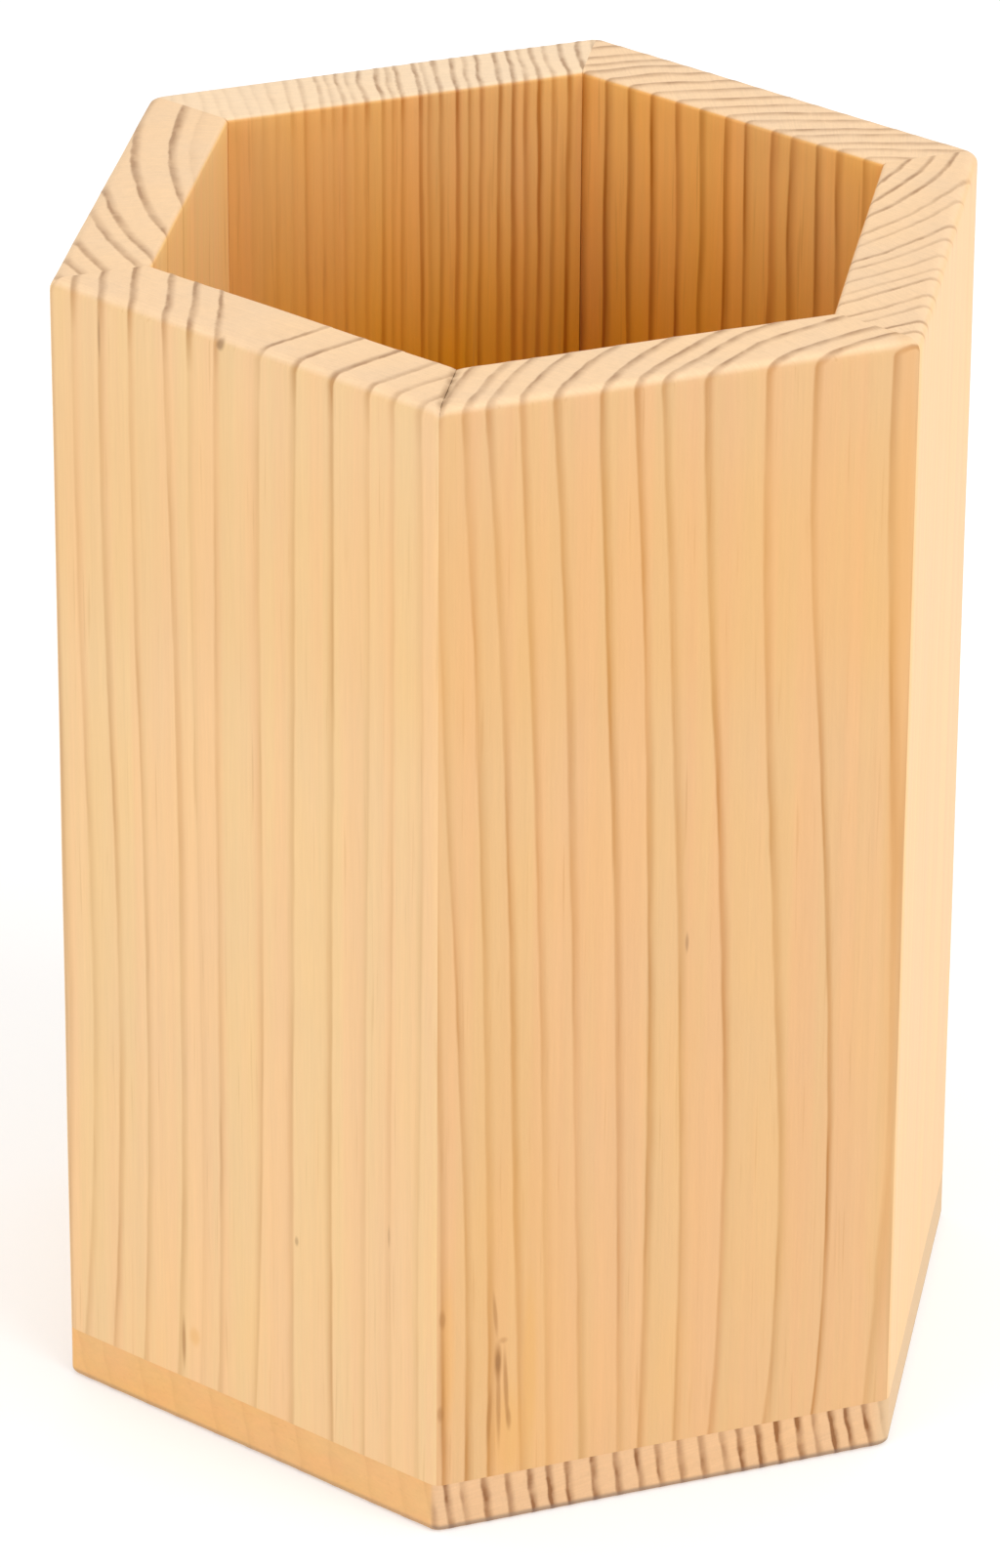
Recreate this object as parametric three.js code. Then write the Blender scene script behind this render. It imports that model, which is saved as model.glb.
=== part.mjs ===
// Hexagonal wooden pen holder: six mitred softwood staves glued edge to edge into a tube, on a
// base plate that is glued under them and sanded flush with their outer faces.
// Millimetres, +Z up. The origin is the centre of the underside, and a corner faces the front, -Y.

import * as THREE from "three";

// Driving dimensions
const faceWidth = 40; // outer face of a stave, corner to corner before the corners are sanded
const overallHeight = 100; // underside to rim
const wallThickness = 7.5; // planed thickness of a stave
const basePlateThickness = 4.5;
const glueLine = 0.3; // film in each mitre joint, and between the base plate and the staves
const cornerRadius = 1.2; // upright corners, sanded round after the glue has set
const rimOuterRadius = 1.1; // outer edge of the rim
const rimInnerRadius = 0.5; // inner edge of the rim, only broken with abrasive paper
const footRadius = 0.6; // edge round the underside
const arcSteps = 8; // facets along each rounded edge

// One stave stands on each side of the hexagon, listed anticlockwise from +X. They are named as
// seen from the front, and their colours differ as boards from different trees do.
const staves = [
  { name: "right_stave", color: 0xf4cf9a },
  { name: "back_right_stave", color: 0xedc38c },
  { name: "back_left_stave", color: 0xf1cb96 },
  { name: "left_stave", color: 0xeec68f },
  { name: "front_left_stave", color: 0xf3cd96 },
  { name: "front_right_stave", color: 0xedbd81 },
];
const basePlateColor = 0xe6ae6d;
const woodRoughness = 0.6;

const sideAngle = (2 * Math.PI) / staves.length;
const mitreAngle = sideAngle / 2; // from the middle of a stave round to its joint with the next
const outerApothem = faceWidth / 2 / Math.tan(mitreAngle); // centre of the holder to an outer face
const innerApothem = outerApothem - wallThickness;
const staveFoot = basePlateThickness + glueLine;
const staveLength = overallHeight - staveFoot;

function woodPiece(name, geometry, color) {
  const wood = new THREE.MeshStandardMaterial({ color, roughness: woodRoughness, metalness: 0 });
  const piece = new THREE.Mesh(geometry, wood);
  piece.name = name;
  return piece;
}

// A quarter round in even turns, from the side face to the end face of a board: how far each step
// stands in from the side, and how far it stays short of the end.
function quarterRound(radius) {
  return Array.from({ length: arcSteps + 1 }, (_, step) => {
    const turn = ((Math.PI / 2) * step) / arcSteps;
    return { inset: radius * (1 - Math.cos(turn)), fromEnd: radius * (1 - Math.sin(turn)) };
  });
}

// The rounded corner between an outer face that looks along +X and the next one anticlockwise,
// from the end of that face round to the last turn.
function cornerArc(apothem, lastTurn) {
  const reach = apothem - cornerRadius;
  const centre = new THREE.Vector2(reach, reach * Math.tan(mitreAngle));
  const arc = new THREE.ArcCurve(centre.x, centre.y, cornerRadius, 0, lastTurn, false);
  return arc.getPoints(arcSteps);
}

// A stave's section seen from above, with its outer face looking along +X. Each stave has half of
// the corner at either side, and stops half a glue line short of the plane where two staves meet.
// The outer and inner edges have a height each, because the rim rounds them by different radii.
function staveSection(outer, inner) {
  const halfGlue = glueLine / 2;
  const leftCorner = cornerArc(outer.apothem, mitreAngle - Math.asin(halfGlue / cornerRadius));
  const rightCorner = leftCorner.map((p) => new THREE.Vector2(p.x, -p.y)).reverse();
  const innerHalfWidth = inner.apothem * Math.tan(mitreAngle) - halfGlue / Math.cos(mitreAngle);
  return [
    ...[...rightCorner, ...leftCorner].map((p) => new THREE.Vector3(p.x, p.y, outer.height)),
    new THREE.Vector3(inner.apothem, innerHalfWidth, inner.height),
    new THREE.Vector3(inner.apothem, -innerHalfWidth, inner.height),
  ];
}

// The base plate's outline at one height, with every corner rounded as the staves' corners are.
function basePlateSection(apothem, height) {
  const corner = cornerArc(apothem, sideAngle);
  const centre = new THREE.Vector2();
  return staves.flatMap((_, side) =>
    corner.map((p) => {
      const turned = p.clone().rotateAround(centre, side * sideAngle);
      return new THREE.Vector3(turned.x, turned.y, height);
    }),
  );
}

// A closed solid through convex sections with the same number of points, from the lowest up.
function loft(sections) {
  const count = sections[0].length;
  const points = sections.flat();
  const topStart = points.length - count;
  const index = [];
  for (let start = 0; start < topStart; start += count) {
    for (let i = 0; i < count; i++) {
      const here = start + i;
      const next = start + ((i + 1) % count);
      index.push(here, next, next + count);
      index.push(here, next + count, here + count);
    }
  }
  for (const [a, b, c] of THREE.ShapeUtils.triangulateShape(sections[0], [])) {
    index.push(a, c, b);
    index.push(topStart + a, topStart + b, topStart + c);
  }
  const geometry = new THREE.BufferGeometry().setFromPoints(points);
  geometry.setIndex(index);
  geometry.computeVertexNormals();
  return geometry;
}

// A stave runs straight up from its square-cut foot, and both edges are rounded at the rim.
function staveGeometry() {
  const foot = staveSection(
    { apothem: outerApothem, height: 0 },
    { apothem: innerApothem, height: 0 },
  );
  const outerRound = quarterRound(rimOuterRadius);
  const innerRound = quarterRound(rimInnerRadius);
  const rim = outerRound.map((outer, step) => {
    const inner = innerRound[step];
    return staveSection(
      { apothem: outerApothem - outer.inset, height: staveLength - outer.fromEnd },
      { apothem: innerApothem + inner.inset, height: staveLength - inner.fromEnd },
    );
  });
  return loft([foot, ...rim]);
}

// The base plate has the staves' full outline, and only its bottom edge is rounded.
function basePlateGeometry() {
  const footRound = quarterRound(Math.min(footRadius, basePlateThickness / 2)).reverse();
  const foot = footRound.map(({ inset, fromEnd }) =>
    basePlateSection(outerApothem - inset, fromEnd),
  );
  return loft([...foot, basePlateSection(outerApothem, basePlateThickness)]);
}

const penHolder = new THREE.Group();
penHolder.add(woodPiece("base_plate", basePlateGeometry(), basePlateColor));

const tube = new THREE.Group();
tube.position.z = staveFoot;
staves.forEach(({ name, color }, side) => {
  const stave = woodPiece(name, staveGeometry(), color);
  stave.rotation.z = side * sideAngle;
  tube.add(stave);
});
penHolder.add(tube);

export default penHolder;
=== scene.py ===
import math

from collections import namedtuple

import bpy
import numpy as np
from mathutils import Matrix, Vector


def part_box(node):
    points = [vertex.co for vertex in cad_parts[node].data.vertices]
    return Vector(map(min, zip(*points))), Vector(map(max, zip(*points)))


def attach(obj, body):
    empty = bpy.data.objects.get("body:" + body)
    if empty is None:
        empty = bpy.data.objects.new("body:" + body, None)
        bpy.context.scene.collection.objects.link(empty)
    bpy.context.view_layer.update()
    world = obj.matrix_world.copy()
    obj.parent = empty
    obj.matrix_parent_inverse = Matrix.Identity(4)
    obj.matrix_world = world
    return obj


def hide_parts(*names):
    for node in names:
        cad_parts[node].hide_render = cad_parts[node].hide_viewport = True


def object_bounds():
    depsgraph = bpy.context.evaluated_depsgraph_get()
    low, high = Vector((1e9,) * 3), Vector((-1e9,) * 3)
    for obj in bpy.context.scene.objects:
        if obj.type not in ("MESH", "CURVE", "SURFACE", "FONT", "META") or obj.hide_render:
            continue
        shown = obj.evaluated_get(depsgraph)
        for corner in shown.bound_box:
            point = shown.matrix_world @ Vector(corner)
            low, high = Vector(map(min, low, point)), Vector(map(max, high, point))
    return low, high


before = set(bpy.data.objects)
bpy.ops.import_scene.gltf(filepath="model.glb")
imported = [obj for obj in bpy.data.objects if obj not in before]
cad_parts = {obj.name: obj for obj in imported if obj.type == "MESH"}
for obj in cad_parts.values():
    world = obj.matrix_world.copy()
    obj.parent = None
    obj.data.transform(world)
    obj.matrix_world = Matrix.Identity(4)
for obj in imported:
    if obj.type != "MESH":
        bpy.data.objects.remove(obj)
cad_low, cad_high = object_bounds()

MM = 0.001

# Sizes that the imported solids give
right_low, right_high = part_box("right_stave")
outer_apothem = right_high.x / MM
wall = (right_high.x - right_low.x) / MM
base_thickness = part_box("base_plate")[1].z / MM
height = cad_high.z / MM
staves_per_turn = 6
mitre = math.pi / staves_per_turn
face_width = 2 * outer_apothem * math.tan(mitre)

# Edges and joints
corner_radius = 1.2  # upright corners
rim_outer_radius = 1.1
rim_inner_radius = 0.5
foot_radius = 0.6  # edge round the underside
half_mitre_gap = 0.001
base_gap = 0.004  # between the base plate and the staves
sunk_mitre = 0.2  # how far points inside a mitre sink at the rim
sharp_from_degrees = 35  # an edge that turns by this much or more is shaded as a sharp one

# Spacing of the mesh's points, steps round each rounded edge, and the sizes of the rings of points
# on the base plate's top and underside, as shares of its outline
column_step = 0.25
depth_step = 0.25
level_step = 1.0
edge_step = 0.3
arc_steps = 8
corner_steps = 5
plate_rings = [0.04, 0.12, 0.22, 0.34, 0.46, 0.58, 0.7, 0.8, 0.86, 0.91, 0.95, 0.98]


# Camera, at the photograph's viewing angle. Its place is in metres

def add_camera():
    azimuth = math.radians(9.17)
    elevation = math.radians(26.51)
    roll = math.radians(0.36)
    target = Vector((-0.00154, 0, 0.04853))
    distance = 0.6744
    focal_length_in_long_sides = 5.170
    sensor = 36.0

    back = Vector(
        (
            math.sin(azimuth) * math.cos(elevation),
            -math.cos(azimuth) * math.cos(elevation),
            math.sin(elevation),
        )
    )
    camera_data = bpy.data.cameras.new("camera")
    camera_data.sensor_width = sensor
    camera_data.lens = sensor * focal_length_in_long_sides
    camera_data.clip_start = 0.01
    camera_data.clip_end = 20
    camera = bpy.data.objects.new("camera", camera_data)
    upright = back.to_track_quat("Z", "Y").to_matrix().to_4x4()
    place = Matrix.Translation(target + back * distance)
    camera.matrix_world = place @ upright @ Matrix.Rotation(roll, 4, "Z")
    bpy.context.scene.collection.objects.link(camera)
    bpy.context.scene.camera = camera


# Light and floor, in metres and watts. The room's walls end and its ceiling begins by how high one
# looks, from 0 for level to 1 for straight up

softbox_size = 1.0
softbox_aim = Vector((0, 0, 0.05))
softboxes = {
    "key": {"place": (1.0, -0.6, 1.0), "power": 8.5},
    "fill": {"place": (-0.9, -1.1, 0.7), "power": 4},
}
white = (1.0, 1.0, 1.0, 1.0)
wall_brightness = 0.95
ceiling_brightness = 0.8
walls_end, ceiling_begins = 0.05, 0.9
floor_reach = 4.0
floor_grey = (0.7, 0.7, 0.7, 1.0)
floor_glow = 0.36


def add_softbox(name, place, power):
    light = bpy.data.lights.new(name, "AREA")
    light.shape = "SQUARE"
    light.size = softbox_size
    light.energy = power
    softbox = bpy.data.objects.new(name, light)
    softbox.location = place
    softbox.rotation_mode = "QUATERNION"
    softbox.rotation_quaternion = (softbox_aim - Vector(place)).to_track_quat("-Z", "Y")
    bpy.context.scene.collection.objects.link(softbox)


def add_room():
    """A white room, whose walls are brighter than its ceiling."""
    world = bpy.data.worlds.new("white_room")
    bpy.context.scene.world = world
    world.use_nodes = True
    nodes, links = world.node_tree.nodes, world.node_tree.links
    background = nodes["Background"]
    background.inputs["Color"].default_value = white
    where = nodes.new("ShaderNodeTexCoord")
    split = nodes.new("ShaderNodeSeparateXYZ")
    strength = nodes.new("ShaderNodeMapRange")
    strength.inputs["From Min"].default_value = walls_end
    strength.inputs["From Max"].default_value = ceiling_begins
    strength.inputs["To Min"].default_value = wall_brightness
    strength.inputs["To Max"].default_value = ceiling_brightness
    links.new(where.outputs["Generated"], split.inputs[0])
    links.new(split.outputs["Z"], strength.inputs["Value"])
    links.new(strength.outputs["Result"], background.inputs["Strength"])


def add_floor():
    """A white floor that glows a little, so that it runs into the white of the room."""
    signs = [(-1, -1), (1, -1), (1, 1), (-1, 1)]
    corners = [(x * floor_reach, y * floor_reach, 0) for x, y in signs]
    floor_mesh = bpy.data.meshes.new("floor")
    floor_mesh.from_pydata(corners, [], [(0, 1, 2, 3)])
    floor = bpy.data.objects.new("floor", floor_mesh)
    bpy.context.scene.collection.objects.link(floor)
    paint = bpy.data.materials.new("floor_white")
    paint.use_nodes = True
    shader = paint.node_tree.nodes["Principled BSDF"]
    shader.inputs["Base Color"].default_value = floor_grey
    shader.inputs["Roughness"].default_value = 0.9
    shader.inputs["Specular IOR Level"].default_value = 0.1
    shader.inputs["Emission Color"].default_value = white
    shader.inputs["Emission Strength"].default_value = floor_glow
    floor_mesh.materials.append(paint)


def add_studio():
    bpy.context.scene.view_settings.view_transform = "Standard"
    add_room()
    for name, softbox in softboxes.items():
        add_softbox(name, **softbox)
    add_floor()


# Growth rings. A board was cut from a trunk whose pith lies at one place (across, depth), mostly
# outside the board. The dark latewood lines were read on one face of the board, to the left or
# right of the pith and counted outwards from it, at one or more distances below the rim. A line's
# distance from the pith then says which ring any point of the wood lies in. The rings of the front
# left board don't lie round one point: they lean to both sides of a line up its outer face.
#
# Of each board, this is said:
# - turn: which way its outer face looks, in degrees round from +X. For the base plate, which way
#   its grain runs
# - left, right: how far across each line was read, by distance below the rim
# - radii: each line's distance from the pith instead, by distance below the rim
# - read_depth: how deep in the board the lines were read, where that isn't the outer face
# - middle, lean: where the leaning rings part, and how far to the side they lean per mm of depth
# - strength, left_strength, right_strength: how dark each of those lines is, from 0 to 1, by
#   distance below the rim
# - unread_strength: how dark the lines are between the pith and the first one read
# - face_strength: how much of the strength shows on the outer face and on the inner one
# - waviness: how far the lines stray sideways on the way up
# - line_width: how wide the dark end of a ring is where the rings are cut square
# - early, late: colours of the soft wood and of the dark lines
# - inner_light_and_shade_tints: tints that paint shade on the inner face, near the rim and further
#   down; on the left stave they paint light
# - end_tint: tint of the end grain
# - open_mitre: which of its mitres has opened at the rim, the left one (-1) or the right one (1)
# - marks: strokes and stains on its faces, and on the front left board painted shade down its left
#   corner. Each leans by so much across per mm downwards, and in its middle it shows this share of
#   its colour
#
# The base plate has no rim: what is said by distance below the rim holds for all of it, and its
# mark is placed by the overall height less the distance along.

Mark = namedtuple("Mark", "across below_rim half_width half_length lean share colour")
bark_brown = (0.17, 0.075, 0.025, 1.0)
# Brown of knots, also used to paint shade down a corner
knot_and_shade_brown = (0.33, 0.14, 0.03, 1.0)
amber = (0.70, 0.36, 0.09, 1.0)
pale_tan = (0.66, 0.475, 0.28, 1.0)

BOARDS = {
    "front_right_stave": {
        "turn": 300,
        "open_mitre": -1,
        "pith": (44.0, -30.0),
        "left": {
            0: [38.3, 31.2, 27.1, 21.8, 18.4, 15.9, 13.1, 9.5, 6.5, 3.8, 2.0, -0.3, -2.4],
            47.5: [39.1, 32.8, 28.3, 24.0, 20.4, 17.8, 14.8, 11.4, 8.6, 6.1, 4.0, 1.6, -0.4],
            69: [39.8, 33.7, 29.1, 24.7, 20.9, 18.0, 15.4, 11.8, 9.1, 6.7, 4.5, 2.5, 0.3],
            94: [39.0, 32.7, 28.6, 23.9, 20.9, 17.8, 15.8, 12.3, 9.6, 7.4, 4.7, 2.8, 0.6],
        },
        "strength": {
            0.6: [0.8, 0.85, 0.82, 0.8, 0.75, 0.8, 0.8, 0.75, 0.7, 0.65, 0.6, 0.6, 0.5],
            4: [0.6, 0.65, 0.65, 0.6, 0.5, 0.55, 0.65, 0.55, 0.5, 0.45, 0.4, 0.35, 0.35],
            30: [0.55, 0.62, 0.6, 0.6, 0.45, 0.55, 0.6, 0.5, 0.5, 0.45, 0.4, 0.35, 0.35],
            70: [0.3, 0.85, 0.45, 0.5, 0.4, 0.6, 0.4, 0.4, 0.38, 0.65, 0.45, 0.5, 0.5],
            88: [0.3, 0.7, 0.45, 0.5, 0.4, 0.5, 0.38, 0.4, 0.38, 0.75, 0.75, 0.8, 0.85],
        },
        "line_width": 0.85,
        "early": (0.68, 0.41, 0.195),
        "late": (0.44, 0.195, 0.045),
        "marks": [
            Mark(20.0, 18.0, 80.0, 17.5, 0.0, 0.2, amber),
            Mark(7.0, 76.0, 6.5, 34.0, 0.0, 0.22, amber),
            Mark(6.2, 92.0, 2.0, 6.5, 0.0, 0.4, amber),
            Mark(39.0, 30.0, 1.5, 60.0, 0.0, 0.25, amber),
            Mark(8.1, 86.0, 0.9, 12.0, 0.0, 0.4, amber),
            Mark(1.0, 83.0, 0.9, 10.0, 0.0, 0.35, amber),
            Mark(5.35, 84.8, 0.46, 2.4, 0.0, 0.75, knot_and_shade_brown),
            Mark(5.35, 84.9, 0.3, 1.3, 0.0, 0.35, bark_brown),
            Mark(5.4, 88.6, 0.3, 5.4, 0.01, 0.55, knot_and_shade_brown),
            Mark(5.1, 80.4, 0.26, 2.8, 0.08, 0.5, knot_and_shade_brown),
            Mark(5.8, 82.9, 0.5, 0.4, 0.0, 0.35, knot_and_shade_brown),
            Mark(6.05, 87.3, 0.3, 4.8, 0.04, 0.6, knot_and_shade_brown),
            Mark(6.3, 90.3, 0.3, 1.5, 0.04, 0.5, knot_and_shade_brown),
            Mark(4.6, 89.9, 0.3, 3.8, -0.05, 0.45, knot_and_shade_brown),
            Mark(0.55, 80.0, 0.4, 1.2, 0.0, 0.5, knot_and_shade_brown),
            Mark(0.4, 88.8, 0.4, 1.0, 0.0, 0.5, knot_and_shade_brown),
            Mark(0.5, 86.0, 0.4, 11.0, 0.0, 0.3, knot_and_shade_brown),
            Mark(21.2, 49.4, 0.22, 1.2, 0.0, 0.4, bark_brown),
        ],
    },
    "front_left_stave": {
        "turn": 240,
        "open_mitre": 1,
        "middle": 19.6,
        "lean": (-0.75, 0.15),
        "left": {
            0: [17.4, 14.7, 12.1, 8.4, 5.3, 2.5],
            45: [17.1, 15.0, 13.1, 9.0, 5.8, 3.1],
            69: [17.1, 15.2, 13.1, 9.3, 6.1, 3.3],
            92: [16.6, 14.6, 12.3, 8.6, 5.3, 2.2],
        },
        "left_strength": {
            0.6: [0.85, 0.9, 0.95, 0.95, 0.9, 0.75],
            4: [0.42, 0.12, 0.48, 0.36, 0.5, 0.28],
            70: [0.4, 0.12, 0.42, 0.42, 0.52, 0.28],
        },
        "right": {
            0: [21.9, 25.5, 29.3, 33.0, 35.6, 38.3],
            45: [21.8, 25.2, 29.1, 32.8, 35.4, 38.3],
            69: [21.7, 25.0, 28.8, 32.4, 35.1, 38.0],
            92: [20.8, 24.7, 28.8, 32.3, 35.1, 38.0],
        },
        "right_strength": {
            0.6: [0.75, 0.9, 1.0, 0.65, 0.5, 0.5],
            4: [0.36, 0.4, 0.5, 0.26, 0.22, 0.22],
            70: [0.36, 0.42, 0.5, 0.26, 0.22, 0.22],
        },
        "line_width": 0.8,
        "early": (0.78, 0.51, 0.26),
        "late": (0.50, 0.26, 0.09),
        "marks": [
            Mark(20.0, 18.0, 80.0, 17.5, 0.0, 0.12, amber),
            Mark(17.9, 0.7, 0.55, 0.7, 0.0, 0.6, bark_brown),
            Mark(5.3, 3.6, 0.2, 2.6, 0.0, 0.35, bark_brown),
            Mark(25.2, 78.0, 0.28, 0.6, 0.0, 0.4, bark_brown),
            Mark(14.0, 91.2, 0.8, 1.2, 0.0, 0.4, amber),
            Mark(12.8, 92.1, 0.3, 3.2, 0.0, 0.6, knot_and_shade_brown),
            # Painted shade down the left upright corner, which faces away from the light
            Mark(0.0, 50.0, 0.8, 90.0, 0.0, 0.4, knot_and_shade_brown),
            Mark(35.0, 74.0, 0.2, 1.4, 0.0, 0.25, bark_brown),
        ],
    },
    "left_stave": {
        "turn": 180,
        "pith": (4.0, 50.0),
        "radii": {0: [46.6, 49.7, 52.6, 54.3, 57.0, 58.9, 60.8]},
        "strength": {0: [0.95, 0.95, 0.8, 0.7, 0.75, 0.65, 0.65]},
        "line_width": 0.95,
        "unread_strength": 0.1,
        "face_strength": (0.6, 0.35),
        "early": (0.84, 0.55, 0.26),
        "late": (0.50, 0.23, 0.07),
        "inner_light_and_shade_tints": [(1.13, 1.1, 0.98, 1.0), (1.08, 1.0, 0.78, 1.0)],
    },
    "back_left_stave": {
        "turn": 120,
        "pith": (-50.0, 20.0),
        "read_depth": wall,
        "right": {
            0: [4.2, 5.7, 7.1, 8.3, 9.4, 10.4, 11.6, 13.3, 14.4, 15.5, 17.0, 18.0, 18.7,
                20.4, 21.2, 22.1, 23.6, 24.6, 25.5, 26.4, 27.3, 28.8, 30.0, 31.5, 32.7],
        },
        "strength": {
            0.6: [0.9, 0.9, 0.5, 0.9, 0.5, 0.9, 0.8, 0.8, 0.5, 0.9, 0.8, 0.4, 0.9,
                  0.8, 0.4, 0.8, 0.7, 0.3, 0.6, 0.3, 0.5, 0.4, 0.3, 0.2, 0.1],
            3: [0.85, 0.85, 0.55, 0.9, 0.55, 0.85, 0.7, 0.8, 0.45, 0.8, 0.6, 0.3, 0.65,
                0.4, 0.25, 0.5, 0.25, 0.15, 0.25, 0.1, 0.15, 0.3, 0.1, 0.15, 0.05],
        },
        "face_strength": (0.45, 1.0),
        "waviness": 0.04,
        "line_width": 0.6,
        "early": (0.84, 0.55, 0.26),
        "late": (0.48, 0.22, 0.055),
        "inner_light_and_shade_tints": [(0.99, 0.83, 0.60, 1.0), (0.92, 0.60, 0.03, 1.0)],
        "end_tint": (1.03, 1.11, 1.22, 1.0),
    },
    "back_right_stave": {
        "turn": 60,
        "pith": (-50.0, 73.0),
        "read_depth": wall,
        "right": {0: [8.9, 11.1, 13.6, 15.4, 18.2, 20.4, 23.0, 25.6, 28.3, 30.8, 33.3, 35.6]},
        "strength": {
            0.6: [0.5, 0.6, 0.5, 0.65, 0.5, 0.65, 0.6, 0.7, 0.55, 0.7, 0.7, 0.7],
            3: [0.6, 0.7, 0.6, 0.8, 0.6, 0.8, 0.7, 0.85, 0.65, 0.85, 0.85, 0.85],
        },
        "face_strength": (0.4, 1.0),
        "waviness": 0.07,
        "line_width": 0.95,
        "early": (0.84, 0.54, 0.25),
        "late": (0.43, 0.19, 0.04),
        "inner_light_and_shade_tints": [(1.07, 0.88, 0.55, 1.0), (0.92, 0.59, 0.02, 1.0)],
        "end_tint": (1.02, 1.03, 1.05, 1.0),
    },
    "right_stave": {
        "turn": 0,
        "pith": (44.0, 37.0),
        "radii": {
            0: [30.6, 32.4, 34.1, 35.8, 38.1, 39.6, 41.9, 43.2, 45.2, 47.0, 48.3, 50.6, 52.0, 54.1],
        },
        "strength": {
            0.6: [0.8, 0.85, 0.95, 0.85, 0.55, 0.35, 0.7, 0.4, 0.35, 0.3, 0.65, 0.6, 0.4, 0.85],
            2.5: [0.12],
        },
        "unread_strength": 0.12,
        "line_width": 0.5,
        "early": (0.865, 0.55, 0.277),
        "late": (0.60, 0.32, 0.11),
    },
    "base_plate": {
        "turn": 300,
        "pith": (89.0, 12.0),
        "read_depth": 2.2,
        "left": {
            0: [39.6, 38.1, 36.4, 34.9, 33.3, 31.8, 30.0, 28.3, 26.6, 25.1, 23.2, 21.3,
                19.4, 17.6, 15.7, 13.7, 11.5, 9.9, 8.2, 6.2, 4.2, 2.4, 1.0],
        },
        "strength": {
            0: [0.6, 0.85, 0.85, 1.0, 0.5, 0.95, 1.0, 0.9, 1.0, 0.55, 0.85, 0.7,
                0.7, 0.75, 0.75, 0.9, 0.9, 0.95, 1.0, 0.7, 1.0, 0.4, 1.0],
        },
        "line_width": 0.8,
        "early": (0.765, 0.42, 0.145),
        "late": (0.58, 0.27, 0.08),
        "marks": [Mark(50.0, 82.7, 2.0, 40.0, 0.577, 0.8, pale_tan)],
    },
}

# Rings between the pith and the first line that was read, and beyond the last one, with the
# smallest and largest width of each as a share of the usual one
unread_rings, unread_ring_widths = 22, (0.8, 1.2)
outer_rings, outer_ring_widths = 40, (0.75, 1.25)
usual_unread_strength = 0.45

# To each side of the middle of leaning rings, the wood is plain this far
plain_half_width = 2.0

# Slow waves in the rings and in the strength of their lines: how much, and how long
long_bend, long_bend_lengths = 0.13, (9, 9, 75)
short_bend, short_bend_lengths = 0.03, (2.2, 2.2, 30)
stray_lengths = (5, 5, 20)
patchiness, patch_lengths = 0.2, (3, 3, 22)

# On a surface that meets the rings at a low angle they show wider, but no more than fivefold
least_steepness = 0.2


def waves(place, seed, lengths):
    """A smooth value of about -1 to 1 at each place, from sine waves of about these lengths."""
    rng = np.random.default_rng(seed)
    count = 7
    total = np.zeros(len(place))
    for _ in range(count):
        direction = rng.normal(size=3)
        waves_per_length = rng.uniform(0.6, 1.4)
        direction *= waves_per_length / np.linalg.norm(direction)
        start = rng.uniform(0, 2 * math.pi)
        total += np.sin((place / lengths) @ direction * 2 * math.pi + start)
    return total / math.sqrt(count)


def ring_edges(board, side, below_rim, seed):
    """Distance from the pith to the end of each ring, smallest first, for each point's height."""
    rows = board[side]
    curves = np.polyfit(list(rows), list(rows.values()), len(rows) - 1)
    lines = np.array([np.polyval(curve, below_rim) for curve in curves.T])
    if side == "radii":
        edges = lines
    elif "middle" in board:
        edges = np.abs(lines - board["middle"])
    else:
        pith_across, pith_depth = board["pith"]
        edges = np.hypot(lines - pith_across, board.get("read_depth", 0.0) - pith_depth)
    rng = np.random.default_rng(seed)
    ring_width = np.diff(edges[:, 0]).mean()
    outer_widths = ring_width * rng.uniform(*outer_ring_widths, outer_rings)
    outer = edges[-1] + np.cumsum(outer_widths)[:, None]
    if "middle" in board:
        return np.concatenate([-edges[:1], edges, outer])
    inner_width = min(ring_width, edges[0].min() / unread_rings)
    inner_widths = inner_width * rng.uniform(*unread_ring_widths, unread_rings)
    inner = edges[0] - np.cumsum(inner_widths)[::-1, None]
    return np.concatenate([inner, edges, outer])


def count_rings(radius, edges):
    """How many rings lie inside each radius, with the part of the last one, and that one's width."""
    widths = np.diff(edges, axis=0)
    number = np.clip((radius - edges[:-1]) / widths, 0, 1).sum(0)
    last = np.clip(number.astype(int), 0, len(widths) - 1)
    return number, np.take_along_axis(widths, last[None], 0)[0]


def line_strength(rows, unread_strength, first_line, number, below_rim):
    """Strength of the line nearest to each point, from rows read at some distances below the rim."""
    levels = list(rows)
    total = 0.0
    for index, row in enumerate(rows.values()):
        of_line = np.interp(np.round(number), first_line + np.arange(len(row)), row, left=unread_strength)
        share = np.interp(below_rim, levels, np.eye(len(levels))[index])
        total = total + share * of_line
    return total


def from_middle_line(board, across, depth):
    """What from_pith tells, for leaning rings. Distances are those from the middle to where the ring
    through each point comes out at the outer face."""
    left_lean, right_lean = board["lean"]
    left_end = board["middle"] - plain_half_width + left_lean * depth
    right_end = board["middle"] + plain_half_width + right_lean * depth
    spread = 2 * plain_half_width / (right_end - left_end)
    from_left = across - left_end
    surfaced = np.where(across < left_end, from_left, from_left * spread)
    surfaced = np.where(across > right_end, across - right_end + 2 * plain_half_width, surfaced)
    surfaced = surfaced - plain_half_width
    lean = np.interp(surfaced, (-plain_half_width, plain_half_width), board["lean"])
    growth = np.where(np.abs(surfaced) < plain_half_width, spread, 1.0)
    sign = np.where(surfaced < 0, -1.0, 1.0)
    return np.abs(surfaced), np.stack([sign * growth, -sign * lean * growth], 1), (sign + 1) / 2


def from_pith(board, place):
    """Each point's distance from the pith, the way that this grows fastest (across, depth), and how
    far right of the pith it lies, from 0 to 1."""
    across, depth = place[:, 0], place[:, 1]
    if "middle" in board:
        return from_middle_line(board, across, depth)
    pith_across, pith_depth = board["pith"]
    offset, rise = across - pith_across, depth - pith_depth
    radius = np.hypot(offset, rise)
    return radius, np.stack([offset, rise], 1) / radius[:, None], np.clip(0.5 + offset, 0, 1)


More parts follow.
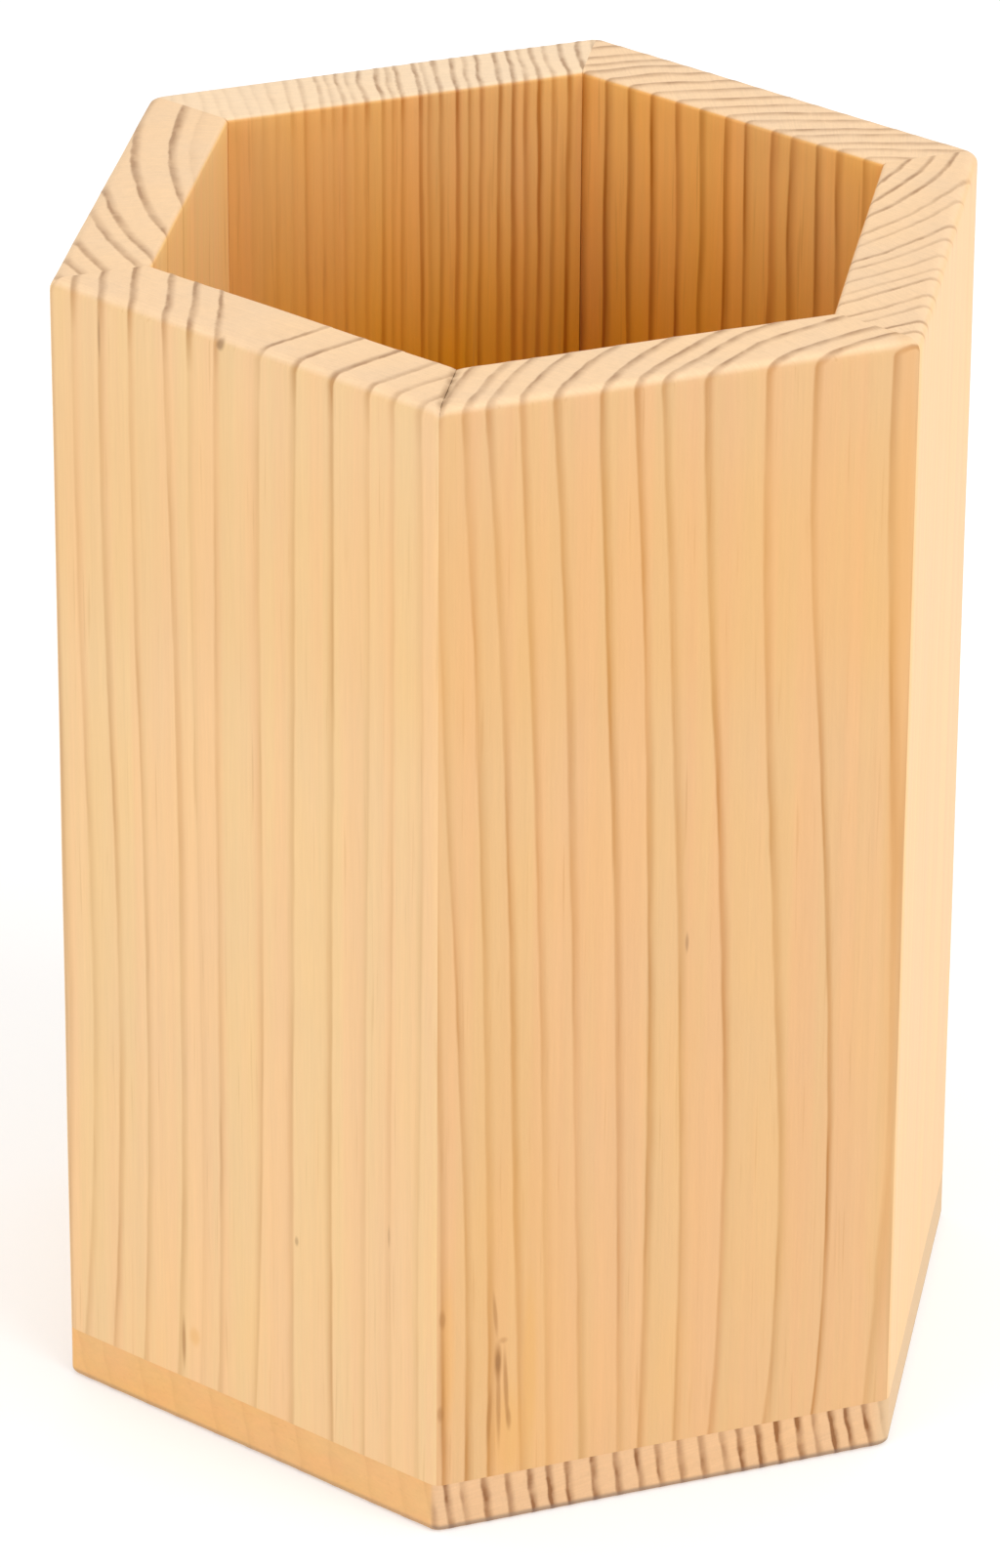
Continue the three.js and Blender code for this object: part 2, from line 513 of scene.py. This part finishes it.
def bent_radius(board, place, radius, seed):
    """The distance from the pith, bent and straying a little on the way along the board."""
    long_bends = long_bend * waves(place, seed, long_bend_lengths)
    short_bends = short_bend * waves(place, seed + 1, short_bend_lengths)
    straying = board.get("waviness", 0.0) * waves(place, seed + 4, stray_lengths)
    return radius + long_bends + short_bends + straying


def grain_of(board, place, normals, seed):
    """What the wood is like at each point of a board's surface, as mesh attributes: ring number,
    ring width as it shows on that surface, strength of the dark lines, and the place as seen from
    the pith."""
    below_rim = height - place[:, 2]
    radius, outward, right = from_pith(board, place)
    bent = bent_radius(board, place, radius, seed)

    sides = [side for side in ("left", "right", "radii") if side in board]
    first_line = 1 if "middle" in board else unread_rings
    unread = board.get("unread_strength", usual_unread_strength)
    number, ring_width, strength = 0.0, 0.0, 0.0
    for side in sides:
        if len(sides) == 1:
            share = 1.0
        else:
            share = right if side == "right" else 1 - right
        count, width = count_rings(bent, ring_edges(board, side, below_rim, seed + 2))
        rows = board.get(side + "_strength") or board["strength"]
        number = number + share * count
        ring_width = ring_width + share * width
        strength = strength + share * line_strength(rows, unread, first_line, count, below_rim)

    strength = strength * (1 + patchiness * waves(place, seed + 3, patch_lengths))
    on_outer_face, on_inner_face = board.get("face_strength", (1.0, 1.0))
    # A normal's share in depth is -1 on the outer face and 1 on the inner one
    facing = (-1, -0.3, 0.3, 1)
    strength = strength * np.interp(normals[:, 1], facing, (on_outer_face, 1, 1, on_inner_face))

    along_normal = (outward * normals[:, :2]).sum(1)
    steepness = np.sqrt(np.maximum((outward**2).sum(1) - along_normal**2, least_steepness**2))
    angle = np.arctan2(outward[:, 1], outward[:, 0])
    polar = np.stack([radius, angle * np.median(radius), place[:, 2]], 1)
    if "middle" in board:
        polar[:, 1] = place[:, 1]
    return {
        "rings": number,
        "ring_width": ring_width / steepness,
        "strength": strength,
        "end_grain": np.abs(normals[:, 2]),
        "board": place,
        "polar": polar,
    }


# Shapes

def turned(points, angle):
    """Points or directions turned about the upright axis."""
    x = points[:, 0] * math.cos(angle) - points[:, 1] * math.sin(angle)
    y = points[:, 0] * math.sin(angle) + points[:, 1] * math.cos(angle)
    return np.stack([x, y, points[:, 2]], 1)


def side_columns(gap):
    """Where the columns of points stand along one side of the hexagon: how far across the flat, and
    how far round the rounded corners. Both stop at gap from the plane where two sides meet."""
    last_turn = mitre - math.asin(gap / corner_radius)
    flat_count = round((face_width - 2 * corner_radius * math.tan(mitre)) / column_step)
    flat = np.linspace(-1, 1, flat_count + 1)
    turns = np.linspace(0, last_turn, corner_steps + 1)[1:]
    ones = np.ones(corner_steps)
    return (
        np.concatenate([-ones, flat, ones]),
        np.concatenate([-turns[::-1], np.zeros(len(flat)), turns]),
    )


def side_line(apothem, columns):
    """The outline of one side that looks along +X: x and y of each column."""
    flat, turn = columns
    reach = apothem - corner_radius
    x = reach + corner_radius * np.cos(turn)
    y = flat * reach * math.tan(mitre) + corner_radius * np.sin(turn)
    return x, y


def quarter_round(radius):
    """How far each step of a rounded edge stands in from the side, and how far from the end."""
    turn = np.linspace(0, math.pi / 2, arc_steps + 1)
    return radius * (1 - np.cos(turn)), radius * (1 - np.sin(turn))


def stave_block():
    """Points [column, depth row, level] of a stave that looks along +X, with the rim rounded."""
    columns = side_columns(half_mitre_gap)
    foot = base_thickness + base_gap
    levels = np.linspace(0, 1, round((height - foot) / level_step))[:-1]
    outer_inset, outer_drop = quarter_round(rim_outer_radius)
    inner_inset, inner_drop = quarter_round(rim_inner_radius)
    straight = np.zeros(len(levels))
    outer_apothems = outer_apothem - np.concatenate([straight, outer_inset])
    inner_apothems = outer_apothem - wall + np.concatenate([straight, inner_inset])
    outer_levels = np.concatenate(
        [foot + levels * (height - rim_outer_radius - foot), height - outer_drop]
    )
    inner_levels = np.concatenate(
        [foot + levels * (height - rim_inner_radius - foot), height - inner_drop]
    )
    depth_rows = np.linspace(0, 1, round(wall / depth_step) + 1)
    block = []
    edges = zip(outer_apothems, inner_apothems, outer_levels, inner_levels)
    for apothem, inner_apothem, level, inner_level in edges:
        x, y = side_line(apothem, columns)
        inner_half = inner_apothem * math.tan(mitre) - half_mitre_gap / math.cos(mitre)
        inner_x = np.full(len(x), inner_apothem)
        inner_y = y * inner_half / y[-1]
        outer = np.stack([x, y, np.full(len(x), level)], 1)
        inner = np.stack([inner_x, inner_y, np.full(len(x), inner_level)], 1)
        block.append(outer[:, None] + (inner - outer)[:, None] * depth_rows[None, :, None])
    return np.stack(block, 2)


def quads(numbers):
    """Four-sided faces between neighbouring points of a grid of point numbers."""
    corners = [numbers[:-1, :-1], numbers[1:, :-1], numbers[1:, 1:], numbers[:-1, 1:]]
    return np.stack(corners, -1).reshape(-1, 4)


def block_surface(block):
    """The points on a block's surface, its faces, and which faces can be seen: the outer and inner
    face and the rim, but not the mitres or the foot."""
    numbers = np.arange(block[..., 0].size).reshape(block.shape[:3])
    seen = [
        quads(numbers[:, 0, :]),
        quads(numbers[:, -1, :].T),
        quads(numbers[:, :, -1]),
    ]
    hidden = [
        quads(numbers[:, :, 0].T),
        quads(numbers[-1, :, :]),
        quads(numbers[0, :, :].T),
    ]
    faces = np.concatenate(seen + hidden)
    used, faces = np.unique(faces, return_inverse=True)
    faces = faces.reshape(-1, 4)
    return block.reshape(-1, 3)[used], faces, faces[: sum(map(len, seen))]


def plate_surface():
    """The base plate as rings of points from the middle of its top, over the edge, to the middle of
    the underside."""
    columns = side_columns(0.0)
    insets, levels = quarter_round(foot_radius)
    edge_levels = np.linspace(base_thickness, foot_radius, round(base_thickness / edge_step))
    rings = [(outer_apothem, scale, base_thickness) for scale in plate_rings]
    rings += [(outer_apothem, 1.0, level) for level in edge_levels[:-1]]
    rings += [(outer_apothem - inset, 1.0, level) for inset, level in zip(insets, levels)]
    rings += [(outer_apothem - foot_radius, scale, 0.0) for scale in reversed(plate_rings)]
    rows = []
    for apothem, scale, level in rings:
        x, y = side_line(apothem, columns)
        one_side = np.stack([x, y, np.full(len(x), level)], 1)[:-1]
        sides = [turned(one_side, step * 2 * mitre) for step in range(staves_per_turn)]
        rows.append(np.concatenate(sides) * (scale, scale, 1))
    grid = np.stack(rows)
    numbers = np.arange(grid.shape[0] * grid.shape[1]).reshape(grid.shape[:2])
    closed = np.concatenate([numbers, numbers[:, :1]], 1)
    middles = np.array([[0, 0, base_thickness], [0, 0, 0]])
    points = np.concatenate([grid.reshape(-1, 3), middles])
    top, under = len(points) - 2, len(points) - 1
    fans = [(top, a, b) for a, b in zip(closed[0], closed[0, 1:])]
    fans += [(under, b, a) for a, b in zip(closed[-1], closed[-1, 1:])]
    return points, quads(closed), fans


def point_normals(points, faces):
    """Normals at the points of these faces, and zero at all other points."""
    normals = np.zeros_like(points)
    corners = points[faces]
    crossed = np.cross(corners[:, 2] - corners[:, 0], corners[:, 3] - corners[:, 1])
    for corner in range(4):
        np.add.at(normals, faces[:, corner], crossed)
    lengths = np.linalg.norm(normals, axis=1)
    return normals / np.maximum(lengths, 1e-9)[:, None]


# Relief. A dark line runs on this far into the next ring. Sanding takes this much, with slow waves
# in what it takes from everything
late_end = 0.22
off_soft_face = 0.01
off_soft_end = 0.04
off_everything = 0.03
sanding_waves, sanding_lengths, sanding_seed = 0.7, (14, 14, 26), 4


def latewood(grain, line_width):
    """0 in soft earlywood to 1 in the hard dark end of a ring."""
    part = grain["rings"] % 1
    to_edge = (1 - part) * grain["ring_width"]
    from_edge = part * grain["ring_width"]
    shade = np.maximum(1 - to_edge / line_width, 1 - from_edge / late_end)
    return np.clip(shade, 0, 1) * np.clip(grain["strength"], 0, 1)


def carve(points, normals, grain, line_width, near_mitre=0.0):
    """Moves the seen points inwards a little: sanding takes more from the soft earlywood, most of
    all from end grain, and leaves slow waves that run on from board to board. Where near_mitre
    rises to 1, the lines no longer stand out, so that two boards meet evenly."""
    soft = 1 - latewood(grain, line_width) * (1 - near_mitre)
    depth = soft * (off_soft_face + off_soft_end * grain["end_grain"])
    depth += off_everything * (1 + sanding_waves * waves(points, sanding_seed, sanding_lengths))
    return points - normals * np.maximum(depth, 0)[:, None]


def distance_to_mitre(place, side):
    """How far each point of a stave is from its left (-1) or right (1) mitre."""
    from_middle = (place[:, 0] - face_width / 2) * side
    return (face_width / 2 - place[:, 1] * math.tan(mitre) - from_middle) * math.cos(mitre)


# The front mitre has opened a little at the rim, where it is chipped and stained

open_joint_depth = 1.6
open_joint_half_width = 0.025
open_joint_reach = 0.5
open_joint_drop = 0.06
least_opening = 0.1
chip_depth = 0.3
chip_reach = 1.2
stain_width = 0.55
stain_depth = 2.4
faintest_stain, darkest_stain = 0.2, 1.4


def nearness(distance, reach):
    """1 at no distance, falling to 0 at this reach and beyond."""
    return np.clip(1 - distance / reach, 0, 1)


def raggedness(place):
    """About 1, and uneven from the outer face inwards."""
    inwards = place * (0, 1, 0)
    coarse = 0.5 * waves(inwards, 31, (1, 1.6, 1))
    fine = 0.3 * waves(inwards, 32, (1, 0.5, 1))
    return 1 + coarse + fine


def open_mitre(points, place, side):
    """Draws a stave's edge back from its left (-1) or right (1) mitre, most of all at the rim."""
    to_mitre = distance_to_mitre(place, side)
    below_rim = height - place[:, 2]
    near = nearness(to_mitre, open_joint_reach) * nearness(below_rim, open_joint_depth)
    ragged = raggedness(place)
    moved = points.copy()
    moved[:, 1] -= side * near * open_joint_half_width * np.maximum(ragged, least_opening)
    chip = chip_depth * np.clip(chip_reach - place[:, 1], 0, 1)
    moved[:, 2] -= near * (open_joint_drop * np.maximum(ragged, 0) + chip)
    return moved


def stain_along_mitre(place, side):
    near = nearness(distance_to_mitre(place, side), stain_width)
    uneven = np.clip(raggedness(place), faintest_stain, darkest_stain)
    return near * nearness(height - place[:, 2], stain_depth) * uneven


# Materials

# Unevenness of the wood, as noise: waves per millimetre across, in depth and along the grain, and
# how many finer layers lie on them. Rays go by distance from the pith, way round it, and along.
PATTERNS = {
    "frayed": (2.0, 2.0, 0.07, 3.0),
    "wiggling": (0.5, 0.5, 0.16, 2.0),
    "fading": (0.7, 0.7, 0.08, 2.0),
    "darkest": (0.4, 0.4, 0.045, 2.0),
    "streaks": (0.45, 0.45, 0.01, 2.0),
    "dashes": (2.6, 2.6, 0.075, 1.0),
    "fibres": (5.0, 5.0, 0.2, 4.0),
    "rays": (0.35, 6.0, 0.4, 2.0),
    "bands": (1.3, 1.3, 0.012, 2.0),
    "clouds": (0.16, 0.16, 0.045, 2.0),
}

# Dark lines: how far they fray and wiggle, how softly they end, how much narrower they are on end
# grain, how they fade in places, how far their darkest core reaches to either side of a ring's end,
# and how much darker the wood grows towards that end
fraying = 0.1
wiggling = 0.22
line_softness = 0.08
end_narrowing = 0.05
least_line, fading = 0.35, 0.85
core_before, core_after = 0.3, 0.12
core_softness = 0.05
core_strength = 0.4
late_tone = 0.07

# Where on their noise these begin to show, and where they show in full
darkest_from, darkest_full = 0.45, 0.65
streak_from, streak_full = 0.35, 0.65
dash_from, dash_full = 0.64, 0.76

# End grain, by how squarely the surface cuts the grain, from 0 to 1
end_grain_from, end_grain_full = 0.35, 0.85

# Colours on end grain, and tints that come over a board's own colours
end_colours = {
    "stave_wood": ((0.875, 0.603, 0.358, 1.0), (0.46, 0.265, 0.135, 1.0)),
    "base_wood": ((0.71, 0.44, 0.235, 1.0), (0.26, 0.105, 0.03, 1.0)),
}
pink_streak = (1.015, 0.975, 0.96, 1.0)
yellow_streak = (0.985, 1.005, 0.965, 1.0)
# Tints that paint shade on the staves' inner faces: near the rim, further down, and from 34 to 80 mm
# below the rim
inner_light_and_shade_tints = [(1.0, 0.86, 0.62, 1.0), (0.98, 0.72, 0.3, 1.0)]
deep_painted_shade = (1.03, 0.80, 0.36, 1.0)
# Painted light on the top of the base plate
plate_top_painted_light = (1.22, 1.32, 1.6, 1.0)
no_tint = (1.0, 1.0, 1.0, 1.0)
# Colour of the painted contact shadow along the foot
foot_shade = (0.20, 0.14, 0.105, 1.0)
glue_stain = (0.27, 0.14, 0.055, 1.0)

# Where the painted shade on the inner face begins, and where it is full: how far short of that
# face, and how far below the rim
inner_light_shade_begins, inner_light_shade_full = 0.9, 0.2
lower_shade_begins, lower_shade_full = 3, 31
deep_shade_begins, deep_shade_full = 34, 80

# Painted contact shadow along the foot, by height above the table, and how much of it shows on faces and
# on end grain
foot_shadow_begins, foot_shadow_full = 0.85, 0.45
face_foot_shadow = 0.38
more_end_foot_shadow = 0.27

# How much the resin dashes and the stained joint show, and how much of a mark has its full share
dash_strength = 0.22
stain_strength = 0.55
mark_core = 0.25

# Lightness and saturation, and how much of them the noise makes
plain_value = 0.95
fibre_value = 0.1
ray_value = 0.16
band_value = 0.1
cloud_value = 0.1
plain_saturation = 0.94
cloud_saturation = 0.12

# Sheen and fine relief, whose depth is in metres
face_roughness = 0.5
more_end_roughness = 0.2
less_line_roughness = 0.1
gloss = 0.35
line_relief = 0.5
relief_strength = 0.35
relief_depth = 0.00005


class Output:
    """What a shader node gives. Sums can be done with those that are numbers."""

    def __init__(self, graph, socket):
        self.graph = graph
        self.socket = socket

    def __add__(self, other):
        return self.graph.calc("ADD", self, other)

    def __sub__(self, other):
        return self.graph.calc("SUBTRACT", self, other)

    def __mul__(self, other):
        return self.graph.calc("MULTIPLY", self, other)

    def __truediv__(self, other):
        return self.graph.calc("DIVIDE", self, other)

    def __pow__(self, other):
        return self.graph.calc("POWER", self, other)

    def __radd__(self, other):
        return self.graph.calc("ADD", other, self)

    def __rsub__(self, other):
        return self.graph.calc("SUBTRACT", other, self)

    def __rmul__(self, other):
        return self.graph.calc("MULTIPLY", other, self)


class Graph:
    """Adds shader nodes to a material, and feeds each from constants or from other nodes."""

    def __init__(self, material):
        material.use_nodes = True
        self.tree = material.node_tree
        self.shader = self.tree.nodes["Principled BSDF"]

    def feed(self, socket, value):
        if isinstance(value, Output):
            self.tree.links.new(value.socket, socket)
        else:
            socket.default_value = value

    def node(self, kind, output, inputs, **settings):
        """Adds a node and gives one of its outputs."""
        made = self.tree.nodes.new("ShaderNode" + kind)
        for key, value in settings.items():
            setattr(made, key, value)
        for key, value in inputs.items():
            self.feed(made.inputs[key], value)
        return Output(self, made.outputs[output])

    def calc(self, operation, *values):
        return self.node("Math", 0, dict(enumerate(values)), operation=operation)

    def vector_calc(self, operation, output, *values):
        return self.node("VectorMath", output, dict(enumerate(values)), operation=operation)

    def coordinate(self, vector, axis):
        return self.node("SeparateXYZ", axis, {0: vector})

    def attribute(self, name, output="Fac"):
        return self.node("Attribute", output, {}, attribute_name=name)

    def rise(self, value, start, end):
        """0 up to start, 1 from end on, and smooth between them. Start may be above end."""
        inputs = {"Value": value, "From Min": start, "From Max": end}
        return self.node("MapRange", "Result", inputs, interpolation_type="SMOOTHSTEP")

    def noise(self, pattern, vector):
        """An uneven value around 0.5."""
        *factors, detail = PATTERNS[pattern]
        scaled = self.vector_calc("MULTIPLY", "Vector", vector, factors)
        return self.node("TexNoise", 0, {"Vector": scaled, "Scale": 1.0, "Detail": detail})

    def blend(self, share, first, second, kind="MIX"):
        # A mix node's colours are its inputs 6 and 7 and its output 2
        inputs = {0: share, 6: first, 7: second}
        return self.node("Mix", 2, inputs, data_type="RGBA", blend_type=kind)

    def tinted(self, colour, tint):
        return self.blend(1.0, colour, tint, "MULTIPLY")


def wood_rings(graph, board, place, end_share):
    """How dark the growth rings make each point, from 0 to 1. Late wood begins softly and ends at a
    sharper edge, which is darkest along some stretches."""
    ring_width = graph.attribute("ring_width")
    frayed = (graph.noise("frayed", place) - 0.5) * fraying
    wiggled = (graph.noise("wiggling", place) - 0.5) * wiggling
    rings = graph.attribute("rings") + (frayed + wiggled) / ring_width
    part = graph.calc("FRACT", rings)
    to_edge = (1.0 - part) * ring_width
    from_edge = part * ring_width

    line_width = board["line_width"] - end_share * (end_narrowing * board["line_width"])
    before = graph.rise(to_edge, line_width, line_softness)
    after = graph.rise(from_edge, late_end, 0.0)
    strength = graph.attribute("strength")
    faded = least_line + graph.noise("fading", place) * fading
    line = graph.calc("MAXIMUM", before, after) * strength * faded

    before = graph.rise(to_edge, core_before, core_softness)
    after = graph.rise(from_edge, core_after, 0.0)
    stretches = graph.rise(graph.noise("darkest", place), darkest_from, darkest_full)
    core = graph.calc("MAXIMUM", before, after) * strength * (stretches * core_strength)
    return line + core + part**2.0 * late_tone


def long_grain_colour(graph, board, place, dark):
    early = (*board["early"], 1.0)
    late = (*board["late"], 1.0)
    streaks = graph.rise(graph.noise("streaks", place), streak_from, streak_full)
    streak_tint = graph.blend(streaks, pink_streak, yellow_streak)
    return graph.tinted(graph.blend(dark, early, late), streak_tint)


def end_grain_colour(graph, board, slot, dark):
    early, late = end_colours[slot]
    return graph.tinted(graph.blend(dark, early, late), board.get("end_tint", no_tint))


def inner_face_painted_light_and_shade(graph, board, colour, place, end_share):
    """Painted shade on a stave's inner face, deepest in colour about 30 mm below the rim; on the left
    stave the tints paint light instead.
    """
    depth = graph.coordinate(place, "Y")
    along = graph.coordinate(place, "Z")
    inside = graph.rise(depth, wall - inner_light_shade_begins, wall - inner_light_shade_full) * (1.0 - end_share)
    upper, lower = board.get("inner_light_and_shade_tints", inner_light_and_shade_tints)
    lower_share = graph.rise(along, height - lower_shade_begins, height - lower_shade_full)
    deep_share = graph.rise(along, height - deep_shade_begins, height - deep_shade_full)
    tint = graph.blend(deep_share, graph.blend(lower_share, upper, lower), deep_painted_shade)
    return graph.blend(inside, colour, graph.tinted(colour, tint))


def top_face_painted_lighter(graph, colour):
    """Painted light: the top of the base plate, inside the holder, is made a little lighter than its
    edge.
    """
    lighter = graph.tinted(colour, plate_top_painted_light)
    return graph.blend(graph.attribute("facing_up"), colour, lighter)


def dashed(graph, board, colour, place, end_share):
    """Resin canals show as short thin dashes along the grain."""
    dashes = graph.rise(graph.noise("dashes", place), dash_from, dash_full)
    share = dashes * ((1.0 - end_share) * dash_strength)
    return graph.blend(share, colour, (*board["late"], 1.0))


def unevenly_toned(graph, colour, place, fibres, end_share):
    """Fibres and bands run along the board, rays out from the pith, and clouds are broad."""
    rays = graph.noise("rays", graph.attribute("polar", "Vector"))
    bands = graph.noise("bands", place)
    clouds = graph.noise("clouds", place)
    value = plain_value + fibres * fibre_value
    value += (rays - 0.5) * (end_share * ray_value)
    value += (bands - 0.5) * band_value
    value += (clouds - 0.5) * cloud_value
    saturation = plain_saturation + clouds * cloud_saturation
    inputs = {"Color": colour, "Value": value, "Saturation": saturation}
    return graph.node("HueSaturation", 0, inputs)


def marked(graph, colour, place, mark):
    """The colour with one mark over it."""
    centre = (mark.across, 0.0, height - mark.below_rim)
    apart = graph.vector_calc("SUBTRACT", "Vector", place, centre)
    slant = (1 / mark.half_width, 0.0, mark.lean / mark.half_width)
    upright = (0.0, 0.0, 1 / mark.half_length)
    sideways = graph.vector_calc("DOT_PRODUCT", "Value", apart, slant)
    lengthways = graph.vector_calc("DOT_PRODUCT", "Value", apart, upright)
    distance = graph.calc("SQRT", sideways**2.0 + lengthways**2.0)
    return graph.blend(graph.rise(distance, 1.0, mark_core) * mark.share, colour, mark.colour)


def foot_painted_shadow(graph, colour, place, end_share):
    """Painted contact shadow along the foot, where a place's depth is its height above the table."""
    most = face_foot_shadow + end_share * more_end_foot_shadow
    shadowed = graph.rise(graph.coordinate(place, "Y"), foot_shadow_begins, foot_shadow_full) * most
    return graph.blend(shadowed, colour, foot_shade)


def wood_material(name, slot, board):
    material = bpy.data.materials.new(name)
    graph = Graph(material)
    place = graph.attribute("board", "Vector")
    end_share = graph.rise(graph.attribute("end_grain"), end_grain_from, end_grain_full)
    dark = wood_rings(graph, board, place, end_share)

    colour = long_grain_colour(graph, board, place, dark)
    if slot == "base_wood":
        colour = top_face_painted_lighter(graph, colour)
    else:
        colour = inner_face_painted_light_and_shade(graph, board, colour, place, end_share)
    colour = graph.blend(end_share, colour, end_grain_colour(graph, board, slot, dark))
    colour = dashed(graph, board, colour, place, end_share)
    fibres = graph.noise("fibres", place)
    colour = unevenly_toned(graph, colour, place, fibres, end_share)
    for mark in board.get("marks", ()):
        colour = marked(graph, colour, place, mark)
    if slot == "base_wood":
        colour = foot_painted_shadow(graph, colour, place, end_share)
    if "open_mitre" in board:
        colour = graph.blend(graph.attribute("stain") * stain_strength, colour, glue_stain)
    graph.feed(graph.shader.inputs["Base Color"], colour)

    roughness = face_roughness + end_share * more_end_roughness - dark * less_line_roughness
    graph.feed(graph.shader.inputs["Roughness"], roughness)
    graph.shader.inputs["Specular IOR Level"].default_value = gloss
    relief = {
        "Strength": relief_strength,
        "Distance": relief_depth,
        "Height": dark * line_relief + fibres,
    }
    graph.feed(graph.shader.inputs["Normal"], graph.node("Bump", 0, relief))
    return material


# Pieces

# Near a mitre the lines don't stand out
relief_free_width = 0.7

# On those sides of the base plate that the grain meets aslant, the lines hardly show
least_shown = 0.08
shown_from, shown_over = 0.55, 0.3
base_plate_seed = 700

# A point of the base plate lies on its side, or on a flat face, from these shares of its normal on
side_from = 0.3
flat_from = 0.7


def add_piece(node, material_name, slot, points, faces, grain):
    """A finer mesh that stands for one solid and carries its grain as attributes."""
    mesh = bpy.data.meshes.new(node + "_wood")
    mesh.from_pydata((points * MM).tolist(), [], faces)
    mesh.shade_smooth()
    mesh.set_sharp_from_angle(angle=math.radians(sharp_from_degrees))
    for key, values in grain.items():
        if values.ndim == 1:
            mesh.attributes.new(key, "FLOAT", "POINT").data.foreach_set("value", values)
        else:
            mesh.attributes.new(key, "FLOAT_VECTOR", "POINT").data.foreach_set("vector", values.ravel())
    piece = bpy.data.objects.new(node + "_wood", mesh)
    bpy.context.scene.collection.objects.link(piece)
    mesh.materials.append(wood_material(material_name, slot, BOARDS[node]))
    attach(piece, "root")
    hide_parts(node)


def stave_shape():
    """Points, faces and the seen points' normals of a stave that looks along +X."""
    points, faces, seen_faces = block_surface(stave_block())
    normals = point_normals(points, seen_faces)
    # Inside the mitres the points sink a little, to stay under the rim that sanding lowers
    below_rim = height - points[:, 2]
    sinking = ~normals.any(axis=1) & (below_rim < rim_outer_radius)
    points[sinking, 2] -= sunk_mitre * (1 - below_rim[sinking] / rim_outer_radius)
    return points, faces.tolist(), normals


def add_staves():
    points, faces, normals = stave_shape()
    place = np.stack([points[:, 1] + face_width / 2, outer_apothem - points[:, 0], points[:, 2]], 1)
    board_normals = np.stack([normals[:, 1], -normals[:, 0], normals[:, 2]], 1)
    to_nearest_mitre = np.minimum(distance_to_mitre(place, -1), distance_to_mitre(place, 1))
    near_mitre = nearness(to_nearest_mitre, relief_free_width)
    for index, (node, board) in enumerate(BOARDS.items()):
        if node == "base_plate":
            continue
        grain = grain_of(board, place, board_normals, seed=100 * (index + 1))
        standing = points
        if "open_mitre" in board:
            standing = open_mitre(points, place, board["open_mitre"])
            grain["stain"] = stain_along_mitre(place, board["open_mitre"])
        turn = math.radians(board["turn"])
        standing = turned(standing, turn)
        carved = carve(standing, turned(normals, turn), grain, board["line_width"], near_mitre)
        add_piece(node, node.replace("stave", "wood"), "stave_wood", carved, faces, grain)


def add_base_plate():
    points, plate_quads, fans = plate_surface()
    normals = point_normals(points, plate_quads)
    normals[-2] = (0, 0, 1)
    normals[-1] = (0, 0, -1)
    # The upper edge belongs to the upright side, not to the top
    slanting = (points[:, 2] == base_thickness) & (np.hypot(normals[:, 0], normals[:, 1]) > side_from)
    normals[slanting, 2] = 0
    normals[slanting] /= np.linalg.norm(normals[slanting], axis=1)[:, None]

    board = BOARDS["base_plate"]
    turn = math.radians(board["turn"])
    level = turned(points, -turn)
    level_normals = turned(normals, -turn)
    place = np.stack([level[:, 1] + face_width / 2, level[:, 2], level[:, 0]], 1)
    board_normals = np.stack([level_normals[:, 1], level_normals[:, 2], level_normals[:, 0]], 1)
    grain = grain_of(board, place, board_normals, base_plate_seed)
    upright = np.abs(board_normals[:, 1]) < flat_from
    shown = np.clip((grain["end_grain"] - shown_from) / shown_over, least_shown, 1)
    grain["strength"] = np.where(upright, grain["strength"] * shown, grain["strength"])
    grain["facing_up"] = np.maximum(normals[:, 2], 0)
    carved = carve(points, normals, grain, board["line_width"])
    add_piece("base_plate", "base_wood", "base_wood", carved, plate_quads.tolist() + fans, grain)


add_camera()
add_studio()
add_staves()
add_base_plate()
